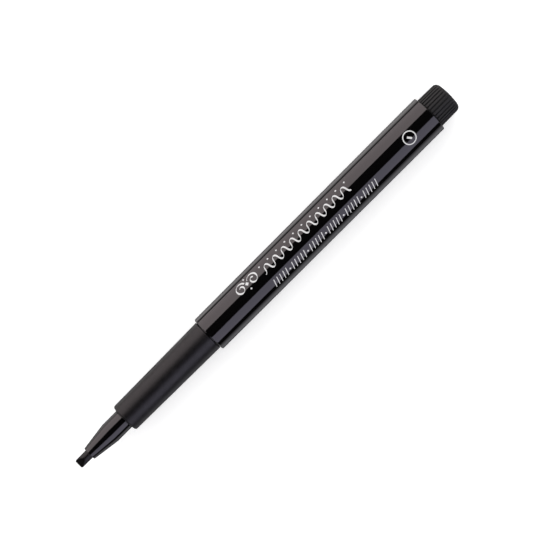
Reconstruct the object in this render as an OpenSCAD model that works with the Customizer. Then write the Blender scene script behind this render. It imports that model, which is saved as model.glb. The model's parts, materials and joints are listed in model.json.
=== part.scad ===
// Calligraphy marker with a chisel-cut felt nib and no cap, lying on a flat surface.
// The pen's axis runs along X at the height of the barrel's largest radius.
// The nib points to -X and the end plug to +X. X = 0 is halfway along the pen.
// The writing edge of the nib is level, along Y.

/* [Nib] */
// Diameter of the round felt rod
nib_d = 2.7; // [2.2:0.05:2.7]
// Length of the whole rod
nib_len = 34; // [33:0.5:38]
// Length of rod that stands out of the holder
nib_reach = 4.15; // [3.5:0.05:5.5]
// Thickness of the writing edge
nib_edge = 0.36; // [0.2:0.02:0.6]
// Length of the two chisel facets
nib_facet = 2.3; // [1.6:0.1:3.2]
// Radius of the writing edge's two corners, seen from above
nib_corner = 0.45; // [0.2:0.05:0.8]

/* [Nib holder] */
// Diameter at the front of the cone
tip_d = 3.96; // [3.7:0.02:4.4]
// Length of the cone
cone_len = 7.8; // [6:0.1:9]
// Diameter of the straight neck, where the cap's inner seal sits
neck_d = 6; // [6:0.1:6.2]
// Length of neck between the cone and the grip
neck_len = 5.4; // [4:0.1:7]

/* [Grip sleeve] */
// Diameter at the front of the grip
grip_front_d = 8.56; // [8.4:0.02:8.8]
// Diameter at the back of the grip
grip_rear_d = 9.22; // [9:0.02:9.4]
// Length of the grip
grip_len = 31.7; // [30:0.1:34]

/* [Barrel] */
// Diameter at the front of the barrel
barrel_front_d = 10.84; // [10.4:0.02:11]
// Diameter at the back of the barrel
barrel_rear_d = 11.2; // [11:0.02:11.6]
// Length of the barrel
barrel_len = 83.3; // [82:0.1:88]
// Length of the straight stretch at the back of the barrel
barrel_straight = 12; // [8:0.5:20]

/* [End plug] */
// Diameter of the head beside the barrel
plug_d = 9.5; // [9.4:0.02:9.8]
// Diameter of the head beside its rounded end
plug_end_d = 9.34; // [9.2:0.02:9.4]
// Length of the head
plug_len = 7.35; // [6:0.05:9]
// Number of grooves round the head
groove_count = 30; // [20:1:32]
// Width of each groove
groove_w = 0.44; // [0.3:0.02:0.5]
// Depth of each groove
groove_depth = 0.4; // [0.25:0.05:0.5]

/* [Ink reservoir] */
// Diameter of the wrapped fibre rod
reservoir_d = 5.4; // [5.2:0.1:5.4]
// Length of the fibre rod
reservoir_len = 94.5; // [90:0.5:95]

/* [Hidden] */
$fn = 96;

// Places along the axis, from the nib to the plug.
total_len = nib_reach + cone_len + neck_len + grip_len + barrel_len + plug_len;
nib_x = -total_len / 2;
tip_x = nib_x + nib_reach;
neck_x = tip_x + cone_len;
grip_x = neck_x + neck_len;
barrel_x = grip_x + grip_len;
plug_x = barrel_x + barrel_len;
end_x = plug_x + plug_len;
axis_z = barrel_rear_d / 2;

// Clearances: radial ones between pieces that slide, and small ones along the axis.
slide_fit = 0.03;
seam = 0.15;

// How far a cut runs past a face, and how far joined shapes run into each other.
reach_past = 0.5;
bond = 0.2;

// Bores and walls.
barrel_bore_r = 4.35;
sleeve_bore_r = 3.72;
holder_tube_r = 3.7;
collar_r = 2.7;
chamber_r = reservoir_d / 2 + 0.1;
nib_bore_r = nib_d / 2 + slide_fit;
film_wall = 0.1;

// Edge rounds.
barrel_front_round = 0.4;
barrel_end_round = 0.2;
sleeve_round = 0.7;
tip_round = 0.2;
plug_round = 1.4;
plug_dome = 0.25;

// Spigots: the holder's in the front of the barrel, the plug's skirt in the back.
spigot_len = 10;
spigot_r = 4.15;
seal_r = barrel_bore_r - slide_fit;
seal_w = 0.9;
spigot_end_x = barrel_x + spigot_len;
skirt_x = plug_x - spigot_len;

// The reservoir: its front end stands in the holder's chamber, on the nib's tail.
lip_len = 1.2;
chamber_x = grip_x + 7.5;
reservoir_x = chamber_x + 0.5;
reservoir_end_x = reservoir_x + reservoir_len;
nib_tail_x = nib_x + nib_len;
tail_point = 1.6;
tail_end_r = 0.4;

// Turns a profile about the pen's axis. A point of the profile is [radius, place along X].
module turned() {
    translate([0, 0, axis_z])
        rotate([0, 90, 0])
            rotate_extrude()
                children();
}

// A cylinder on the pen's axis.
module rod(from_x, to_x, r) {
    translate([from_x, 0, axis_z])
        rotate([0, 90, 0])
            cylinder(h = to_x - from_x, r = r);
}

// A cone on the pen's axis.
module cone(from_x, to_x, from_r, to_r) {
    translate([from_x, 0, axis_z])
        rotate([0, 90, 0])
            cylinder(h = to_x - from_x, r1 = from_r, r2 = to_r);
}

// Repeats its children evenly round the pen's axis, the first of them straight above it or turned by start.
module round_axis(count, start = 0) {
    for (i = [0 : count - 1])
        translate([0, 0, axis_z])
            rotate([start + i * 360 / count, 0, 0])
                children();
}

// A plate that stands above the axis, between two radii, and runs along it. round_axis() places it.
module bar(from_x, to_x, from_r, to_r, width) {
    translate([from_x, -width / 2, from_r])
        cube([to_x - from_x, width, to_r - from_r]);
}

// Rings that press on the barrel's bore, spread between two places.
module seal_rings(from_x, to_x, count) {
    pitch = (to_x - from_x - seal_w) / (count - 1);
    for (i = [0 : count - 1])
        rod(from_x + i * pitch, from_x + i * pitch + seal_w, seal_r);
}

// Glossy tube with rounded ends, a slight taper, and ribs inside that centre the reservoir.
module barrel() {
    front_r = barrel_front_d / 2;
    rear_r = barrel_rear_d / 2;
    straight_x = plug_x - barrel_straight;
    rib_from_x = spigot_end_x + 0.4;
    rib_to_x = skirt_x - 0.4;
    color("#151416") {
        difference() {
            turned() {
                polygon([
                    [0, barrel_x], [front_r - barrel_front_round, barrel_x],
                    [front_r, barrel_x + barrel_front_round], [front_r, barrel_x + 2 * barrel_front_round],
                    [rear_r, straight_x], [rear_r, plug_x - barrel_end_round],
                    [rear_r - barrel_end_round, plug_x], [0, plug_x]
                ]);
                translate([front_r - barrel_front_round, barrel_x + barrel_front_round])
                    circle(barrel_front_round);
                translate([rear_r - barrel_end_round, plug_x - barrel_end_round])
                    circle(barrel_end_round);
            }
            rod(barrel_x - reach_past, plug_x + reach_past, barrel_bore_r);
        }
        round_axis(6)
            bar(rib_from_x, rib_to_x, chamber_r, barrel_bore_r + bond, 0.7);
    }
}

// Ribbed, domed head over a hollow skirt. A cross inside holds the reservoir forward.
module end_plug() {
    head_x = plug_x + seam;
    head_r = plug_d / 2;
    end_r = plug_end_d / 2;
    flat_r = end_r - plug_round;
    dome_r = (pow(flat_r, 2) + pow(plug_dome, 2)) / (2 * plug_dome);
    shoulder_x = end_x - plug_dome;
    skirt_bore_r = 3.4;
    hollow_end_x = end_x - 2.4;
    cross_x = reservoir_end_x + seam;
    cross_r = chamber_r - 0.3;
    cross_w = 0.9;
    color("#3a393b") {
        difference() {
            union() {
                turned() {
                    polygon([
                        [0, head_x], [head_r, head_x], [end_r, shoulder_x - plug_round],
                        [flat_r, shoulder_x], [0, shoulder_x]
                    ]);
                    translate([flat_r, shoulder_x - plug_round])
                        circle(plug_round);
                    intersection() {
                        translate([0, end_x - dome_r])
                            circle(dome_r);
                        translate([0, shoulder_x - plug_dome])
                            square([flat_r, 3 * plug_dome]);
                    }
                }
                rod(skirt_x, head_x + bond, spigot_r);
                seal_rings(skirt_x + 1, plug_x - 1, 3);
            }
            rod(skirt_x - reach_past, hollow_end_x, skirt_bore_r);
            round_axis(groove_count, 180 / groove_count)
                bar(head_x - reach_past, end_x, head_r - groove_depth, head_r + reach_past, groove_w);
        }
        round_axis(4) {
            bar(cross_x, hollow_end_x + bond, 0, cross_r, cross_w);
            bar(skirt_x + 0.5, hollow_end_x + bond, 0, skirt_bore_r + bond, cross_w);
        }
    }
}

// Rod of bonded fibre that holds the ink. The nib's pointed tail stands in its front end.
module ink_reservoir() {
    color("#26242e")
        difference() {
            rod(reservoir_x, reservoir_end_x, reservoir_d / 2 - film_wall);
            rod(reservoir_x - reach_past, nib_tail_x - tail_point, nib_bore_r);
            cone(nib_tail_x - tail_point, nib_tail_x + seam, nib_bore_r, tail_end_r + slide_fit);
        }
}

// Clear film wrapped round the fibre rod, open at both ends.
module reservoir_film() {
    color("#c8ccd4", 0.6)
        difference() {
            rod(reservoir_x, reservoir_end_x, reservoir_d / 2);
            rod(reservoir_x - reach_past, reservoir_end_x + reach_past, reservoir_d / 2 - film_wall);
        }
}

// Glossy cone and neck, a collar for the grip's lip, a tube under the grip, and the spigot in the barrel.
module nib_holder() {
    tip_r = tip_d / 2;
    neck_r = neck_d / 2;
    vent_r = 0.22;
    collector_x = neck_x + 2.5;
    collector_r = 2;
    tube_x = grip_x + lip_len;
    spigot_x = barrel_x + seam;
    color("#18171a")
        difference() {
            union() {
                turned() {
                    polygon([
                        [0, tip_x], [tip_r - tip_round, tip_x], [tip_r, tip_x + tip_round],
                        [neck_r, neck_x], [0, neck_x]
                    ]);
                    translate([tip_r - tip_round, tip_x + tip_round])
                        circle(tip_round);
                }
                rod(neck_x, grip_x - seam, neck_r);
                rod(neck_x, tube_x + bond, collar_r);
                rod(tube_x, spigot_x + bond, holder_tube_r);
                rod(spigot_x, spigot_end_x, spigot_r);
                seal_rings(spigot_x + 1, spigot_end_x - 1, 3);
            }
            rod(tip_x - reach_past, chamber_x, nib_bore_r);
            rod(collector_x, chamber_x + bond, collector_r);
            rod(chamber_x, spigot_end_x + reach_past, chamber_r);
            round_axis(4, 45)
                translate([tip_x - reach_past, 0, nib_bore_r])
                    rotate([0, 90, 0])
                        cylinder(h = collector_x - tip_x + 2 * reach_past, r = vent_r, $fn = 24);
        }
}

// Matte sleeve that the fingers hold. Its rounded lip snaps round the holder's collar.
module grip_sleeve() {
    front_r = grip_front_d / 2;
    rear_r = grip_rear_d / 2;
    rear_x = barrel_x - seam;
    color("#2d2c2f")
        difference() {
            turned() {
                polygon([
                    [0, grip_x], [front_r - sleeve_round, grip_x],
                    [front_r, grip_x + sleeve_round], [front_r, grip_x + 2 * sleeve_round],
                    [rear_r, rear_x], [0, rear_x]
                ]);
                translate([front_r - sleeve_round, grip_x + sleeve_round])
                    circle(sleeve_round);
            }
            rod(grip_x - reach_past, grip_x + lip_len + bond, collar_r + slide_fit);
            rod(grip_x + lip_len, barrel_x + reach_past, sleeve_bore_r);
        }
}

// Felt rod cut to a chisel at the front and to a point at the back.
module chisel_nib() {
    r = nib_d / 2;
    edge_z = nib_edge / 2;
    color("#1c1b1d")
        intersection() {
            union() {
                rod(nib_x, nib_tail_x - tail_point, r);
                cone(nib_tail_x - tail_point, nib_tail_x, r, tail_end_r);
            }
            translate([0, r, axis_z])
                rotate([90, 0, 0])
                    linear_extrude(nib_d)
                        polygon([
                            [nib_x, -edge_z], [nib_x + nib_facet, -r], [nib_tail_x, -r],
                            [nib_tail_x, r], [nib_x + nib_facet, r], [nib_x, edge_z]
                        ]);
            translate([0, 0, axis_z - r])
                linear_extrude(nib_d) {
                    translate([nib_x + nib_corner, -r])
                        square([nib_len, nib_d]);
                    translate([nib_x, nib_corner - r])
                        square([nib_len, nib_d - 2 * nib_corner]);
                    for (side = [-1, 1])
                        translate([nib_x + nib_corner, side * (r - nib_corner)])
                            circle(nib_corner);
                }
        }
}

barrel();
end_plug();
ink_reservoir();
reservoir_film();
nib_holder();
grip_sleeve();
chisel_nib();
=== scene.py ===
"""Looks of a calligraphy marker: finely turned pieces, a generic print, materials, studio and camera."""

import json
import math

import bmesh
import bpy
import numpy as np
from mathutils import Matrix, Vector

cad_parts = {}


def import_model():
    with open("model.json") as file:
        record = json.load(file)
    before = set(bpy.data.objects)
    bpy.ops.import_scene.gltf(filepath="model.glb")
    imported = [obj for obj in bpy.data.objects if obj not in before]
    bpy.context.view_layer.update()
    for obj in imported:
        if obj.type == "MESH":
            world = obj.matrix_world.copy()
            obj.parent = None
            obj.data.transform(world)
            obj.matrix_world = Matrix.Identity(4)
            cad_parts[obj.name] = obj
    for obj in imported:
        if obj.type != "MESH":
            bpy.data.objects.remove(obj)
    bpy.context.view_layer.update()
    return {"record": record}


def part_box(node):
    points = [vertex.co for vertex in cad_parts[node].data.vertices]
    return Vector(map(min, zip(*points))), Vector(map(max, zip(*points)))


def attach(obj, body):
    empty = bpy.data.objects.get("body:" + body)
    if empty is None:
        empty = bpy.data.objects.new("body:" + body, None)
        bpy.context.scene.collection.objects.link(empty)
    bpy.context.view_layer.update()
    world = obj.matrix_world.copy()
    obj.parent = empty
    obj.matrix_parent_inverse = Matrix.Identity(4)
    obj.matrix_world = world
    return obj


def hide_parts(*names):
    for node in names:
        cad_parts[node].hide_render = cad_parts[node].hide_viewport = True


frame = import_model()

MM = 0.001
MOUNTS = {mount["name"]: mount for mount in frame["record"]["mounts"]}
BARREL_SEAT = MOUNTS["barrel_grip_seat"]
CAP_SEAT = MOUNTS["cap_seal_seat"]
AXIS_Z = BARREL_SEAT["pos_m"][2]


# ---------------------------------------------------------------- sizes, in metres

def span(node):
    """Where a CAD node starts and ends along the pen."""
    low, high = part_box(node)
    return low.x, high.x


BARREL_X, BARREL_END_X = span("barrel")
HOLDER_X, HOLDER_END_X = span("nib_holder")
GRIP_X, GRIP_END_X = span("grip_sleeve")
CROSS_X, PLUG_END_X = span("end_plug")
NIB_X, NIB_TAIL_X = span("chisel_nib")
FIBRE_X, FIBRE_END_X = span("ink_reservoir")

BARREL_FRONT_R = 5.42 * MM
BARREL_REAR_R = BARREL_SEAT["dims"]["r_mm"] * MM
BARREL_STRAIGHT = 12 * MM
BARREL_BORE_R = 4.35 * MM
BARREL_FRONT_ROUND = 0.4 * MM
BARREL_END_ROUND = 0.2 * MM
SPIGOT_LEN = 10 * MM
SPIGOT_R = 4.15 * MM
SEAL_R = 4.32 * MM
SEAL_W = 0.9 * MM
SEAL_INSET = 1 * MM
SLIDE_FIT = 0.03 * MM
SEAM = 0.15 * MM
CHAMFER = 0.12 * MM

TIP_R = 1.98 * MM
TIP_ROUND = 0.2 * MM
NECK_R = CAP_SEAT["dims"]["r_mm"] * MM
NECK_LEN = CAP_SEAT["dims"]["length_mm"] * MM
COLLAR_R = 2.7 * MM
TUBE_R = 3.7 * MM
CHAMBER_R = 2.8 * MM
COLLECTOR_R = 2 * MM
VENT_R = 0.22 * MM

GRIP_FRONT_R = 4.28 * MM
GRIP_REAR_R = 4.61 * MM
GRIP_ROUND = 0.7 * MM
GRIP_BORE_R = 3.72 * MM
LIP_LEN = 1.2 * MM

PLUG_R = 4.75 * MM
PLUG_END_R = 4.67 * MM
PLUG_ROUND = 1.4 * MM
PLUG_DOME = 0.25 * MM
PLUG_BORE_R = 3.4 * MM
PLUG_WALL = 2.4 * MM
GROOVES = 30
GROOVE_W = 0.44 * MM
GROOVE_DEPTH = 0.4 * MM
CROSS_W = 0.9 * MM

NIB_R = 1.35 * MM
NIB_EDGE = 0.36 * MM
NIB_FACET = 2.3 * MM
NIB_CORNER = 0.45 * MM
NIB_POINT = 1.6 * MM
NIB_POINT_R = 0.4 * MM
FELT_RIDGE = 0.022 * MM
FELT_FRAY = 0.03 * MM

FIBRE_R = 2.6 * MM
FILM_R = 2.7 * MM


# ---------------------------------------------------------------- mesh tools

def even_angles(count):
    """Angles spread evenly round a full turn."""
    return np.linspace(0, 2 * math.pi, count, endpoint=False)


ROUND = even_angles(240)


def ring(x, r, angles=ROUND):
    """Points round the pen's axis at one place along it. r is one radius, or one for each angle."""
    r = np.broadcast_to(r, angles.shape)
    return np.column_stack([np.full(angles.shape, x), r * np.sin(angles), AXIS_Z + r * np.cos(angles)])


def loft(rings, closed=False):
    """Points and faces of a shell through rings. A closed one joins its last ring to its first."""
    count = len(rings[0])
    faces = []
    for i in range(len(rings) if closed else len(rings) - 1):
        here = i * count
        there = (i + 1) % len(rings) * count
        for j in range(count):
            k = (j + 1) % count
            faces.append((here + j, here + k, there + k, there + j))
    if not closed:
        faces.append(tuple(range(count)))
        faces.append(tuple(range((len(rings) - 1) * count, len(rings) * count)))
    return np.vstack(rings), faces


def turned(profile, closed=True, angles=ROUND):
    """A shell turned about the pen's axis. profile is points of (place along the pen, radius)."""
    return loft([ring(x, r, angles) for x, r in profile], closed)


def rounded(x, r, radius, start, steps=8):
    """Profile points of a quarter round about (x, r), turning down towards +X from start degrees."""
    turns = np.radians(np.linspace(start, start - 90, steps + 1))
    return [(x + radius * math.cos(turn), r + radius * math.sin(turn)) for turn in turns]


def seal_rings(from_x, to_x, count=3):
    """Profile points of raised rings with chamfered edges, spread between two places on a spigot."""
    pitch = (to_x - from_x - SEAL_W) / (count - 1)
    points = []
    for i in range(count):
        x = from_x + i * pitch
        end_x = x + SEAL_W
        points += [(x, SPIGOT_R), (x + CHAMFER, SEAL_R), (end_x - CHAMFER, SEAL_R), (end_x, SPIGOT_R)]
    return points


def new_object(name, *shells, sharp=28):
    """One mesh object from closed shells, smooth but for edges that turn by more than sharp degrees."""
    mesh = bpy.data.meshes.new(name)
    points = []
    faces = []
    base = 0
    for shell_points, shell_faces in shells:
        points.append(shell_points)
        faces += [tuple(base + i for i in face) for face in shell_faces]
        base += len(shell_points)
    mesh.from_pydata(np.vstack(points).tolist(), [], faces)
    edit = bmesh.new()
    edit.from_mesh(mesh)
    bmesh.ops.recalc_face_normals(edit, faces=edit.faces)
    edit.to_mesh(mesh)
    edit.free()
    mesh.shade_smooth()
    mesh.set_sharp_from_angle(angle=math.radians(sharp))
    piece = bpy.data.objects.new(name, mesh)
    bpy.context.scene.collection.objects.link(piece)
    return piece


def finish_piece(piece, body, slot, look, *nodes):
    """Gives a piece its material and its body, and hides the CAD nodes that it stands for. Its slot is
    not used.
    """
    piece.data.materials.append(look)
    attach(piece, body)
    if nodes:
        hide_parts(*nodes)


# ---------------------------------------------------------------- materials

class Look:
    """A node material round one Principled shader. Its textures are in object space, in metres."""

    def __init__(self, name, **settings):
        self.material = bpy.data.materials.new(name)
        self.material.use_nodes = True
        self.tree = self.material.node_tree
        self.shader = self.tree.nodes["Principled BSDF"]
        self.coordinates = self.tree.nodes.new("ShaderNodeTexCoord").outputs["Object"]
        for socket, value in settings.items():
            self.shader.inputs[socket.replace("_", " ")].default_value = value

    def node(self, kind, links=(), **values):
        """A new node with some sockets set and some linked."""
        made = self.tree.nodes.new(kind)
        for socket, value in values.items():
            made.inputs[socket.replace("_", " ")].default_value = value
        for socket, source in dict(links).items():
            self.tree.links.new(source, made.inputs[socket])
        return made

    def noise(self, size, stretch=(1, 1, 1), detail=3):
        """Noise of about that grain size, in metres, drawn out along each axis by stretch."""
        scale = [1 / (size * factor) for factor in stretch]
        placed = self.node("ShaderNodeMapping", {"Vector": self.coordinates}, Scale=scale).outputs[0]
        return self.node("ShaderNodeTexNoise", {"Vector": placed}, Scale=1.0, Detail=detail).outputs[0]

    def spread(self, factor, low, high, start=0.3, end=0.7):
        """A noise's middle range, spread from low to high."""
        values = {"From_Min": start, "From_Max": end, "To_Min": low, "To_Max": high}
        return self.node("ShaderNodeMapRange", {"Value": factor}, **values).outputs[0]

    def colour(self, factor, dark, light):
        """Drives the base colour between two, by a factor from 0 to 1."""
        ramp = self.node("ShaderNodeValToRGB", {"Fac": factor})
        ramp.color_ramp.elements[0].color = (*dark, 1)
        ramp.color_ramp.elements[1].color = (*light, 1)
        self.drive("Base Color", ramp.outputs[0])

    def bump(self, *layers):
        """Bumps laid one on another. Each layer is a height factor and its depth in metres."""
        normal = None
        for height, depth in layers:
            links = {"Height": height}
            if normal:
                links["Normal"] = normal
            normal = self.node("ShaderNodeBump", links, Distance=depth).outputs[0]
        self.drive("Normal", normal)

    def drive(self, socket, source):
        """Links a value to one of the shader's sockets."""
        self.tree.links.new(source, self.shader.inputs[socket])


def grey(value):
    """A neutral colour."""
    return value, value, value


def gloss_black(name):
    """Polished black plastic: faint waviness, fine handling scratches and patches of duller gloss."""
    look = Look(name, Base_Color=(0.0011, 0.0010, 0.0011, 1), IOR=1.5)
    smudges = look.noise(7 * MM, (2.5, 1, 1))
    look.drive("Roughness", look.spread(smudges, 0.035, 0.085))
    waves = look.noise(2.2 * MM, (4, 1, 1), detail=1)
    scratches = look.noise(0.05 * MM, (60, 1, 1), detail=2)
    look.bump((waves, 0.004 * MM), (scratches, 0.0006 * MM))
    return look.material


def grip_matte(name):
    """Fine spark-textured black plastic, a little worn."""
    look = Look(name, Specular_IOR_Level=0.31)
    wear = look.noise(5 * MM, (2, 1, 1))
    look.colour(look.spread(wear, 0, 1), (0.0008, 0.0008, 0.0009), (0.0015, 0.0014, 0.0015))
    look.drive("Roughness", look.spread(look.noise(1.6 * MM), 0.36, 0.44))
    look.bump((look.noise(0.16 * MM, detail=4), 0.018 * MM), (look.noise(0.06 * MM), 0.006 * MM))
    return look.material


def plug_matte(name):
    """Dull dark grey plastic with a fine grain."""
    look = Look(name, Specular_IOR_Level=0.2)
    wear = look.noise(2.5 * MM)
    look.colour(look.spread(wear, 0, 1), grey(0.0105), grey(0.013))
    look.drive("Roughness", look.spread(look.noise(0.7 * MM), 0.5, 0.6))
    look.bump((look.noise(0.12 * MM, detail=4), 0.01 * MM))
    return look.material


def nib_felt(name):
    """Ink-soaked felt: fibres along the pen, a slightly uneven surface and a damp sheen in patches."""
    look = Look(name, Specular_IOR_Level=0.27)
    fibres = look.noise(0.035 * MM, (22, 1, 1), detail=4)
    patches = look.noise(0.7 * MM, (2, 1, 1))
    look.colour(look.spread(fibres, 0, 1), grey(0.0004), grey(0.0026))
    look.drive("Roughness", look.spread(patches, 0.24, 0.36))
    look.bump((fibres, 0.006 * MM), (look.noise(0.25 * MM), 0.01 * MM))
    return look.material


def reservoir_fibre(name):
    """A bundle of bonded fibres, dark with ink and greyer in streaks."""
    look = Look(name)
    fibres = look.noise(0.05 * MM, (70, 1, 1), detail=4)
    soak = look.noise(6 * MM, (2, 1, 1))
    both = look.node("ShaderNodeMath", {0: fibres, 1: soak}).outputs[0]
    streaks = look.spread(both, 0, 1, start=0.7, end=1.3)
    look.colour(streaks, (0.004, 0.004, 0.006), (0.05, 0.047, 0.06))
    look.drive("Roughness", look.spread(soak, 0.7, 0.9))
    look.bump((fibres, 0.03 * MM))
    return look.material


def film_clear(name):
    """Clear plastic film with faint creases."""
    look = Look(name, Base_Color=(0.1, 0.105, 0.115, 1), Alpha=0.22, Specular_IOR_Level=1.0)
    creases = look.noise(1.2 * MM, (7, 1, 1), detail=4)
    look.drive("Roughness", look.spread(creases, 0.05, 0.2))
    look.bump((creases, 0.03 * MM))
    return look.material


def print_white(name):
    """Opaque white printing ink, slightly uneven."""
    look = Look(name)
    specks = look.noise(0.09 * MM, detail=4)
    look.colour(look.spread(specks, 0, 1), grey(0.5), grey(0.66))
    look.drive("Roughness", look.spread(specks, 0.42, 0.6))
    look.bump((specks, 0.004 * MM))
    return look.material


# ---------------------------------------------------------------- the pen's pieces

def off_centre(angles, count, start=0.0):
    """How far each angle lies from the nearest of count evenly spread centres, one of them at start."""
    pitch = 2 * math.pi / count
    return (angles - start + pitch / 2) % pitch - pitch / 2


def barrel_shell():
    """The barrel's tube, with six thin ribs inside that centre the reservoir."""
    front_round = BARREL_FRONT_ROUND
    end_round = BARREL_END_ROUND
    front_edge = rounded(BARREL_X + front_round, BARREL_FRONT_R - front_round, front_round, 180)
    rear_edge = rounded(BARREL_END_X - end_round, BARREL_REAR_R - end_round, end_round, 90)
    rib_half_angle = math.radians(4.6)
    rib_gap = 0.4 * MM
    rib_x = BARREL_X + SPIGOT_LEN + rib_gap
    rib_end_x = BARREL_END_X - SPIGOT_LEN - rib_gap
    ribbed = np.where(np.abs(off_centre(ROUND, 6)) < rib_half_angle, CHAMBER_R, BARREL_BORE_R)
    bore = [
        (BARREL_END_X, BARREL_BORE_R + CHAMFER), (BARREL_END_X - CHAMFER, BARREL_BORE_R),
        (rib_end_x + CHAMFER, BARREL_BORE_R), (rib_end_x, ribbed),
        (rib_x, ribbed), (rib_x - CHAMFER, BARREL_BORE_R),
        (BARREL_X + CHAMFER, BARREL_BORE_R), (BARREL_X, BARREL_BORE_R + CHAMFER),
    ]
    taper_end = [(BARREL_END_X - BARREL_STRAIGHT, BARREL_REAR_R)]
    return new_object("barrel_shell", turned(front_edge + taper_end + rear_edge + bore))


def grooved(r, angles):
    """Radii of a ring with the plug's flat-bottomed grooves cut into it and their edges a little worn."""
    wall_slope = 0.03 * MM
    edge_wear = 0.05 * MM
    wear_width = 0.12 * MM
    wear_fade = 0.3 * MM
    off = off_centre(angles, GROOVES, math.pi / GROOVES)
    side = np.abs(PLUG_R * np.sin(off)) - GROOVE_W / 2
    groove = PLUG_R - GROOVE_DEPTH * np.clip(-side / wall_slope, 0, 1)
    wear = edge_wear * np.clip((r - PLUG_R + GROOVE_DEPTH) / wear_fade, 0, 1)
    worn = r - wear * np.clip(1 - side / wear_width, 0, 1) ** 2
    return np.minimum(worn, np.where(side < 0, groove, np.inf))


def plug_angles():
    """Angles that follow each groove's walls closely and the ridges beside it more coarsely."""
    beside = np.array([1.2, 2.3, 2.66, 2.9, 3.3, 3.8, 4.5, 5.5])
    offsets = np.concatenate([-beside, [0], beside])
    centres = (np.arange(GROOVES) + 0.5) * 360 / GROOVES
    return np.sort(np.radians((centres[:, None] + offsets).ravel() % 360))


def plus_ring(x, arm):
    """The outline of the plug's inner cross at one place along the pen."""
    half = CROSS_W / 2
    outline = []
    for c, s in ((1, 0), (0, 1), (-1, 0), (0, -1)):
        for y, z in ((-half, half), (-half, arm), (half, arm)):
            outline.append((x, y * c + z * s, AXIS_Z + z * c - y * s))
    return np.array(outline)


def end_plug_ribbed():
    """The plug: a grooved head with a slightly domed end, a hollow skirt with seal rings, and a cross."""
    angles = plug_angles()
    head_x = BARREL_END_X + SEAM
    flat_r = PLUG_END_R - PLUG_ROUND
    shoulder_x = PLUG_END_X - PLUG_DOME
    skirt_x = BARREL_END_X - SPIGOT_LEN
    hollow_end_x = PLUG_END_X - PLUG_WALL
    shares = np.linspace(0.06, 0.94, 9)
    dome = [(PLUG_END_X - PLUG_DOME * share ** 2, flat_r * share) for share in shares]
    shoulder = rounded(shoulder_x - PLUG_ROUND, flat_r, PLUG_ROUND, 90)[::-1]
    head = dome + shoulder + [(head_x + CHAMFER, PLUG_R), (head_x, PLUG_R - CHAMFER)]
    ridged = [(x, grooved(r, angles)) for x, r in head]
    skirt = [
        (head_x, SPIGOT_R), *seal_rings(skirt_x + SEAL_INSET, BARREL_END_X - SEAL_INSET)[::-1],
        (skirt_x + CHAMFER, SPIGOT_R), (skirt_x, SPIGOT_R - CHAMFER),
        (skirt_x, PLUG_BORE_R + CHAMFER), (skirt_x + CHAMFER, PLUG_BORE_R), (hollow_end_x, PLUG_BORE_R),
    ]
    cup = turned(ridged + skirt, closed=False, angles=angles)
    sunk = 0.2 * MM
    short = CHAMBER_R - 0.3 * MM
    long = PLUG_BORE_R + sunk
    step_x = skirt_x + 0.5 * MM
    arms = [(CROSS_X, short), (step_x, short), (step_x + CHAMFER, long), (hollow_end_x + sunk, long)]
    cross = loft([plus_ring(x, arm) for x, arm in arms])
    return new_object("end_plug_ribbed", cup, cross)


def nib_holder_shell():
    """Cone, neck, collar, tube and spigot in one turned shell, with vent grooves beside the nib."""
    neck_x = CAP_SEAT["pos_m"][0] - NECK_LEN / 2
    neck_end_x = GRIP_X - SEAM
    neck_edge = 0.06 * MM
    tube_x = GRIP_X + LIP_LEN
    spigot_x = BARREL_X + SEAM
    collector_x = neck_x + 2.5 * MM
    chamber_x = FIBRE_X - 0.5 * MM
    bore_r = NIB_R + SLIDE_FIT
    off = off_centre(ROUND, 4, math.pi / 4)
    depth = VENT_R ** 2 - (bore_r * np.sin(off)) ** 2
    vented = np.where(depth > 0, bore_r * np.cos(off) + np.sqrt(np.maximum(depth, 0)), bore_r)
    outside = [
        *rounded(HOLDER_X + TIP_ROUND, TIP_R - TIP_ROUND, TIP_ROUND, 180),
        (neck_x, NECK_R), (neck_end_x - neck_edge, NECK_R), (neck_end_x, NECK_R - neck_edge),
        (neck_end_x, COLLAR_R), (tube_x, COLLAR_R), (tube_x, TUBE_R),
        (spigot_x, TUBE_R), (spigot_x, SPIGOT_R),
        *seal_rings(spigot_x + SEAL_INSET, HOLDER_END_X - SEAL_INSET),
        (HOLDER_END_X - CHAMFER, SPIGOT_R), (HOLDER_END_X, SPIGOT_R - CHAMFER),
    ]
    inside = [
        (HOLDER_END_X, CHAMBER_R + CHAMFER), (HOLDER_END_X - CHAMFER, CHAMBER_R),
        (chamber_x, CHAMBER_R), (chamber_x, COLLECTOR_R),
        (collector_x, COLLECTOR_R), (collector_x, vented), (HOLDER_X, vented),
    ]
    return new_object("nib_holder_shell", turned(outside + inside))


def grip_sleeve_shell():
    """The slightly tapered sleeve, with its rounded lip round the holder's collar."""
    lip_r = COLLAR_R + SLIDE_FIT
    lip_end_x = GRIP_X + LIP_LEN - SLIDE_FIT
    rear_edge = 0.15 * MM
    profile = [
        *rounded(GRIP_X + GRIP_ROUND, GRIP_FRONT_R - GRIP_ROUND, GRIP_ROUND, 180, steps=14),
        (GRIP_END_X - rear_edge, GRIP_REAR_R), (GRIP_END_X, GRIP_REAR_R - rear_edge),
        (GRIP_END_X, GRIP_BORE_R), (lip_end_x, GRIP_BORE_R), (lip_end_x, lip_r), (GRIP_X, lip_r),
    ]
    return new_object("grip_sleeve_shell", turned(profile))


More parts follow.
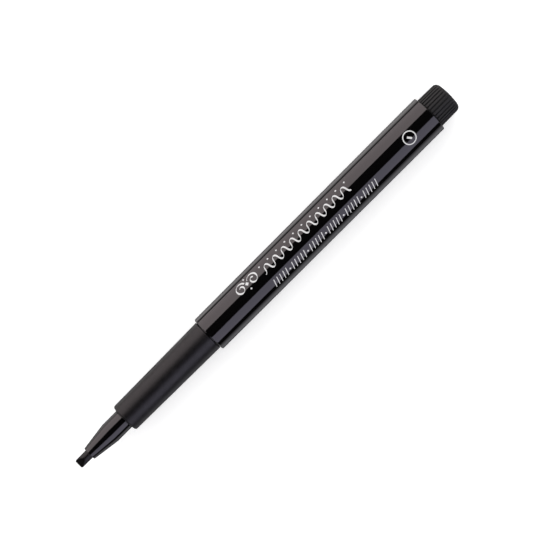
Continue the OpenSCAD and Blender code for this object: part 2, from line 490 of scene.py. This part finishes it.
def nib_section(x, angles):
    """Radii of the felt rod at one place: round, cut flat by the facets, narrower at the corners.

    The round and the cuts are blended, and a higher sharpness blends them over a shorter stretch.
    """
    past = x - NIB_X
    sides = np.maximum(np.abs(np.sin(angles)), 1e-6)
    flats = np.maximum(np.abs(np.cos(angles)), 1e-6)
    sharpness = 26
    total = np.full(angles.shape, NIB_R ** -sharpness)
    if past < NIB_FACET:
        half_height = NIB_EDGE / 2 + (NIB_R - NIB_EDGE / 2) * past / NIB_FACET
        total = total + (half_height / flats) ** -sharpness
    if past < NIB_CORNER:
        half_width = NIB_R - NIB_CORNER + math.sqrt(NIB_CORNER ** 2 - (NIB_CORNER - past) ** 2)
        total = total + (half_width / sides) ** -sharpness
    return total ** (-1 / sharpness)


def fibre_ridges(angles, x, waves):
    """Small ridges of the felt's fibres, as a share of their depth, at one place along the nib."""
    heights = [np.sin(count * angles + phase + drift * x / MM) for count, phase, drift in waves]
    return sum(heights) / len(waves)


def chisel_nib_felt():
    """The felt rod, with a chisel edge in front, a point behind and ridges of fibre along its side."""
    rng = np.random.default_rng(7)
    angles = even_angles(420)
    waves = [(rng.integers(18, 90), rng.uniform(0, 6.28), rng.normal(0, 0.9)) for _ in range(14)]
    finely_to = 6 * MM
    places = np.concatenate([
        np.linspace(0, NIB_CORNER, 14),
        np.linspace(NIB_CORNER, NIB_FACET, 60)[1:],
        np.linspace(NIB_FACET, finely_to, 20)[1:],
        np.linspace(finely_to, NIB_TAIL_X - NIB_X - NIB_POINT, 24)[1:],
    ])
    rings = []
    for past in places:
        x = NIB_X + past
        section = nib_section(x, angles)
        depth = FELT_RIDGE * np.clip(1 - 8 * (1 - section / NIB_R), 0, 1)
        rings.append(ring(x, section + depth * fibre_ridges(angles, x, waves), angles))
    for share in np.linspace(0, 1, 8)[1:]:
        r = NIB_R + (NIB_POINT_R - NIB_R) * share
        rings.append(ring(NIB_TAIL_X - NIB_POINT * (1 - share), r, angles))
    rings[0][:, 0] += FELT_FRAY * (1 + fibre_ridges(angles * 0.4, NIB_X, waves))
    return new_object("chisel_nib_felt", loft(rings), sharp=50)


def reservoir_rod():
    """The fibre rod, with the socket that the nib's tail stands in."""
    socket_r = NIB_R + SLIDE_FIT
    profile = [
        (NIB_TAIL_X + SEAM, NIB_POINT_R + SLIDE_FIT), (NIB_TAIL_X - NIB_POINT, socket_r),
        (FIBRE_X, socket_r), (FIBRE_X, FIBRE_R - CHAMFER), (FIBRE_X + CHAMFER, FIBRE_R),
        (FIBRE_END_X - CHAMFER, FIBRE_R), (FIBRE_END_X, FIBRE_R - CHAMFER),
    ]
    return new_object("reservoir_rod", turned(profile, closed=False))


def reservoir_wrap():
    """The film round the fibre rod, thicker where its edge laps over."""
    lap_at, lap_half_angle = 150, 12
    lap_step = 0.04 * MM
    lap = np.clip(1 - np.abs(np.degrees(ROUND) - lap_at) / lap_half_angle, 0, 1)
    outer = FILM_R + lap_step * np.minimum(1, 4 * lap)
    inner = FIBRE_R + 0.01 * MM
    profile = [(FIBRE_X, inner), (FIBRE_X, outer), (FIBRE_END_X, outer), (FIBRE_END_X, inner)]
    return new_object("reservoir_wrap", turned(profile))


# ---------------------------------------------------------------- the generic print

# Flat shapes of the print are points of (x along the pen, s round the barrel from its top towards +Y).
NIB_ANGLE = math.radians(38)
HAIRLINE = 0.14 * MM
PRINT_PROUD = 0.014 * MM
PRINT_SUNK = 0.02 * MM
STEPS_ACROSS = 4


def barrel_r(x):
    """The barrel's radius at places along the pen."""
    taper = [BARREL_X + BARREL_FRONT_ROUND, BARREL_END_X - BARREL_STRAIGHT]
    return np.interp(x, taper, [BARREL_FRONT_R, BARREL_REAR_R])


def on_barrel(flat, height):
    """Wraps flat points onto the barrel, at a height above its surface."""
    base = barrel_r(flat[..., 0])
    angle = flat[..., 1] / base
    r = base + height
    return np.stack([flat[..., 0], r * np.sin(angle), AXIS_Z + r * np.cos(angle)], axis=-1)


def pen_stroke(path, width, closed=False, even=False):
    """A raised stroke of a broad nib along a path: widest across the nib's angle, thinnest along it.

    An even stroke keeps its full width all the way.
    """
    path = np.asarray(path, float)
    ahead = np.roll(path, -1, 0) - np.roll(path, 1, 0) if closed else np.gradient(path, axis=0)
    heading = np.arctan2(ahead[:, 1], ahead[:, 0])
    share = np.ones(len(path)) if even else np.abs(np.sin(heading - NIB_ANGLE))
    half = np.maximum(HAIRLINE, width * share) / 2
    normal = np.column_stack([-np.sin(heading), np.cos(heading)])
    shares = np.linspace(-1, 1, STEPS_ACROSS + 1)
    flat = path[:, None, :] + normal[:, None, :] * half[:, None, None] * shares[None, :, None]
    rings = []
    for row in flat:
        rings.append(np.vstack([on_barrel(row, PRINT_PROUD), on_barrel(row[::-1], -PRINT_SUNK)]))
    return loft(rings, closed)


def straight(start, end, steps=6):
    """A straight path between two flat points."""
    return np.linspace(start, end, steps + 1)


def lozenge(x, s, width):
    """The diamond that a broad nib makes when it is pulled its own width."""
    reach = width / 2 * np.array([-math.sin(NIB_ANGLE), math.cos(NIB_ANGLE)])
    middle = np.array([x, s])
    return pen_stroke(straight(middle - reach, middle + reach, 4), width)


def spiral(x, s, inner, outer, turns, start, mirror):
    """A scroll that opens outwards from its centre."""
    share = np.linspace(0, 1, 90)
    r = inner + (outer - inner) * share ** 0.8
    turn = start + 2 * math.pi * turns * share
    return np.column_stack([x + mirror * r * np.cos(turn), s + r * np.sin(turn)])


def print_emblem():
    """Two mirrored scrolls round a column of lozenges."""
    middle_x, middle_s = -3.95 * MM, 2.35 * MM
    apart = 2.15 * MM
    scroll = {"inner": 0.35 * MM, "outer": 1.75 * MM, "turns": 1.3, "start": 0.9}
    strokes = []
    for mirror in (-1, 1):
        path = spiral(middle_x + mirror * apart, middle_s, mirror=mirror, **scroll)
        strokes.append(pen_stroke(path, 0.48 * MM))
    for height, width in ((-1.75, 0.42), (0, 0.8), (1.75, 0.42)):
        strokes.append(lozenge(middle_x, middle_s + height * MM, width * MM))
    return strokes


def print_waves():
    """A full, round wave that swells and thins under a broad nib, with a lozenge over every trough."""
    from_x, pitch, waves = 1.4 * MM, 3.18 * MM, 10
    middle_s, rise, fullness = 1.55 * MM, 1.12 * MM, 0.045
    turn = np.linspace(0, 2 * math.pi * waves, 48 * waves)
    x = from_x + pitch * (turn / (2 * math.pi) + fullness * np.sin(2 * turn))
    path = np.column_stack([x, middle_s - rise * np.cos(turn)])
    strokes = [pen_stroke(path, 0.46 * MM)]
    for i in range(waves + 1):
        strokes.append(lozenge(from_x + i * pitch, middle_s + 1.8 * MM, 0.42 * MM))
    return strokes


def print_strokes():
    """Equal groups of slanting strokes with a lozenge in each gap."""
    from_x, to_x = 1.5 * MM, 39.3 * MM
    middle_s, rise, slant = -3.12 * MM, 1.15 * MM, 0.32 * MM
    groups, in_group = 6, 5
    places = groups * (in_group + 1) - 1
    pitch = (to_x - from_x) / (places - 1)
    strokes = []
    for i in range(places):
        x = from_x + i * pitch
        if i % (in_group + 1) == in_group:
            strokes.append(lozenge(x, middle_s, 0.45 * MM))
        else:
            ends = straight((x - slant, middle_s - rise), (x + slant, middle_s + rise), 4)
            strokes.append(pen_stroke(ends, 0.38 * MM))
    return strokes


def print_ring():
    """A ring with one broad slanting stroke in it."""
    x, s, r = 53.8 * MM, -0.8 * MM, 1.8 * MM
    reach_x, reach_s = 0.45 * MM, 0.55 * MM
    turns = even_angles(96)
    circle = np.column_stack([x + r * np.cos(turns), s + r * np.sin(turns)])
    slash = straight((x - reach_x, s + reach_s), (x + reach_x, s - reach_s))
    return [pen_stroke(circle, 0.3 * MM, closed=True, even=True), pen_stroke(slash, 0.55 * MM)]


# ---------------------------------------------------------------- the studio

WARM = (1, 0.88, 0.9)
COOL = (0.84, 0.8, 1)
WHITE = (1, 1, 1)
FAINT_WARM = (1, 0.96, 0.965)
FAINT_COOL = (0.95, 0.94, 1)

# The lit table as the pen's gloss sees it, in mm across the pen: each strip's edges beside the front
# and the back of the barrel, then its radiance and colour.
TABLE_STRIPS = (
    ((-62, -46), (-62, -46), 0.25, FAINT_COOL),
    ((-46, -28), (-46, -28), 0.55, FAINT_COOL),
    ((-28, -12.5), (-28, -12.5), 0.9, FAINT_COOL),
    ((-12.5, -9.5), (-12.5, -9.5), 0.45, FAINT_COOL),
    ((-9.5, 9.5), (-9.5, 9.5), 0.2, WHITE),
    ((9.5, 12.5), (9.5, 12.5), 0.7, FAINT_WARM),
    ((12.5, 22), (12.5, 29), 1.55, FAINT_WARM),
    ((22, 52), (29, 84), 0.25, FAINT_WARM),
    ((52, 600), (84, 600), 2.6, WARM),
)


def towards(degrees):
    """Unit vector across the pen, turned from straight up towards -Y by that angle."""
    turn = math.radians(degrees)
    return Vector((0, -math.sin(turn), math.cos(turn)))


def lamp(name, centre, along, across, size, radiance, colour):
    """A flat soft lamp of that radiance. along and across are the directions of its two sides."""
    light = bpy.data.lights.new(name, "AREA")
    light.shape = "RECTANGLE"
    light.size, light.size_y = size
    light.energy = radiance * math.pi * size[0] * size[1]
    light.color = colour
    made = bpy.data.objects.new(name, light)
    turned_by = Matrix((along, across, along.cross(across))).transposed().to_4x4()
    made.matrix_world = Matrix.Translation(centre) @ turned_by
    made.visible_camera = False
    bpy.context.scene.collection.objects.link(made)
    return made


def softbox(name, low, high, reach, radiance, colour, fill):
    """A long lamp beside the pen, over the directions from low to high in degrees from straight up.

    Gloss sees it with its radiance and colour. The light that it casts is white, with a radiance of fill.
    """
    start = towards(low) * reach
    end = towards(high) * reach
    along = Vector((1, 0, 0))
    across = (end - start).normalized()
    if along.cross(across).dot(start + end) < 0:
        along = -along
    centre = (start + end) / 2 + Vector((0, 0, AXIS_Z))
    size = (1.8, (end - start).length)
    shine = lamp(name + "_shine", centre, along, across, size, radiance, colour)
    shine.visible_diffuse = False
    cast = lamp(name + "_cast", centre, along, across, size, fill, WHITE)
    cast.visible_glossy = False


def card(name, front, back, radiance, colour):
    """A strip of lit table that only reflections see, since they don't see the table top itself.

    front and back are its two edges beside the barrel's front and back.
    """
    depth = 0.4 * MM
    far = 0.9
    stations = ((-far, front), (BARREL_X, front), (BARREL_END_X, back), (far, back))
    mesh = bpy.data.meshes.new(name)
    corners = [(x, y * MM, -depth) for x, edges in stations for y in edges]
    mesh.from_pydata(corners, [], [(i, i + 2, i + 3, i + 1) for i in (0, 2, 4)])
    material = bpy.data.materials.new(name)
    material.use_nodes = True
    nodes = material.node_tree.nodes
    nodes.clear()
    glow = nodes.new("ShaderNodeEmission")
    glow.inputs["Color"].default_value = (*colour, 1)
    glow.inputs["Strength"].default_value = radiance
    output = nodes.new("ShaderNodeOutputMaterial")
    material.node_tree.links.new(glow.outputs[0], output.inputs["Surface"])
    mesh.materials.append(material)
    made = bpy.data.objects.new(name, mesh)
    bpy.context.scene.collection.objects.link(made)
    made.visible_camera = False
    made.visible_diffuse = False
    made.visible_transmission = False
    made.visible_shadow = False


def floor():
    """A plain white table, with a slight glow that keeps it pale beside the pen."""
    mesh = bpy.data.meshes.new("table_top")
    half = 3.0
    corners = [(-half, -half, 0), (half, -half, 0), (half, half, 0), (-half, half, 0)]
    mesh.from_pydata(corners, [], [(0, 1, 2, 3)])
    look = Look("table_white", Roughness=0.7, Emission_Color=(1, 1, 1, 1), Emission_Strength=0.32)
    look.colour(look.noise(30 * MM), grey(0.9), grey(0.93))
    mesh.materials.append(look.material)
    made = bpy.data.objects.new("table_top", mesh)
    bpy.context.scene.collection.objects.link(made)
    made.visible_glossy = False


def world():
    """Even pale surroundings that light the table but don't show in the pen's gloss."""
    surroundings = bpy.data.worlds.new("pale_room")
    bpy.context.scene.world = surroundings
    surroundings.use_nodes = True
    background = surroundings.node_tree.nodes["Background"]
    background.inputs["Color"].default_value = (1, 1, 1, 1)
    background.inputs["Strength"].default_value = 0.85
    surroundings.cycles_visibility.glossy = False


def camera():
    """Straight above the pen and turned by 45 degrees, so that the nib points to the lower left."""
    data = bpy.data.cameras.new("camera")
    data.sensor_width = 36
    data.lens = 168.75
    data.clip_start = 0.01
    made = bpy.data.objects.new("camera", data)
    place = (2.966 * MM, -3.174 * MM, 705.6 * MM)
    half = math.sqrt(0.5)
    turned_by = Matrix(((half, half, 0), (-half, half, 0), (0, 0, 1))).to_4x4()
    made.matrix_world = Matrix.Translation(place) @ turned_by
    bpy.context.scene.collection.objects.link(made)
    bpy.context.scene.camera = made


def studio():
    """The table, the surroundings, a softbox on each side of the pen and a weak lamp beyond its plug."""
    floor()
    world()
    softbox("left_softbox", low=-28, high=-90, reach=0.6, radiance=2.6, colour=WARM, fill=2.4)
    softbox("right_softbox", low=26, high=74, reach=0.6, radiance=2.1, colour=COOL, fill=1.6)
    for i, (front, back, radiance, colour) in enumerate(TABLE_STRIPS):
        card(f"table_strip_{i}", front, back, radiance, colour)
    beyond_plug = Vector((0.8, 0, 0.22))
    across, up = Vector((0, 1, 0)), Vector((0, 0, 1))
    lamp("end_lamp", beyond_plug, across, up, size=(0.4, 0.3), radiance=0.35, colour=WHITE)


# ---------------------------------------------------------------- everything put together

# Each piece's shape, body, material slot and look, and the CAD node that it stands for.
PIECES = (
    (barrel_shell, "barrel", "barrel_gloss", gloss_black, "barrel"),
    (end_plug_ribbed, "end_plug", "plug_matte", plug_matte, "end_plug"),
    (nib_holder_shell, "front_section", "holder_gloss", gloss_black, "nib_holder"),
    (grip_sleeve_shell, "front_section", "grip_matte", grip_matte, "grip_sleeve"),
    (chisel_nib_felt, "nib", "nib_felt", nib_felt, "chisel_nib"),
    (reservoir_rod, "barrel", "reservoir_fibre", reservoir_fibre, "ink_reservoir"),
    (reservoir_wrap, "barrel", "film_clear", film_clear, "reservoir_film"),
)
for shape, body, slot, look, node in PIECES:
    finish_piece(shape(), body, slot, look(slot), node)

PRINTS = {"emblem": print_emblem, "waves": print_waves, "strokes": print_strokes, "ring": print_ring}
white_ink = print_white("print_white")
for part, draw in PRINTS.items():
    finish_piece(new_object("print_" + part, *draw()), "barrel", "print_white", white_ink)

studio()
camera()
bpy.context.scene.view_settings.view_transform = "Standard"
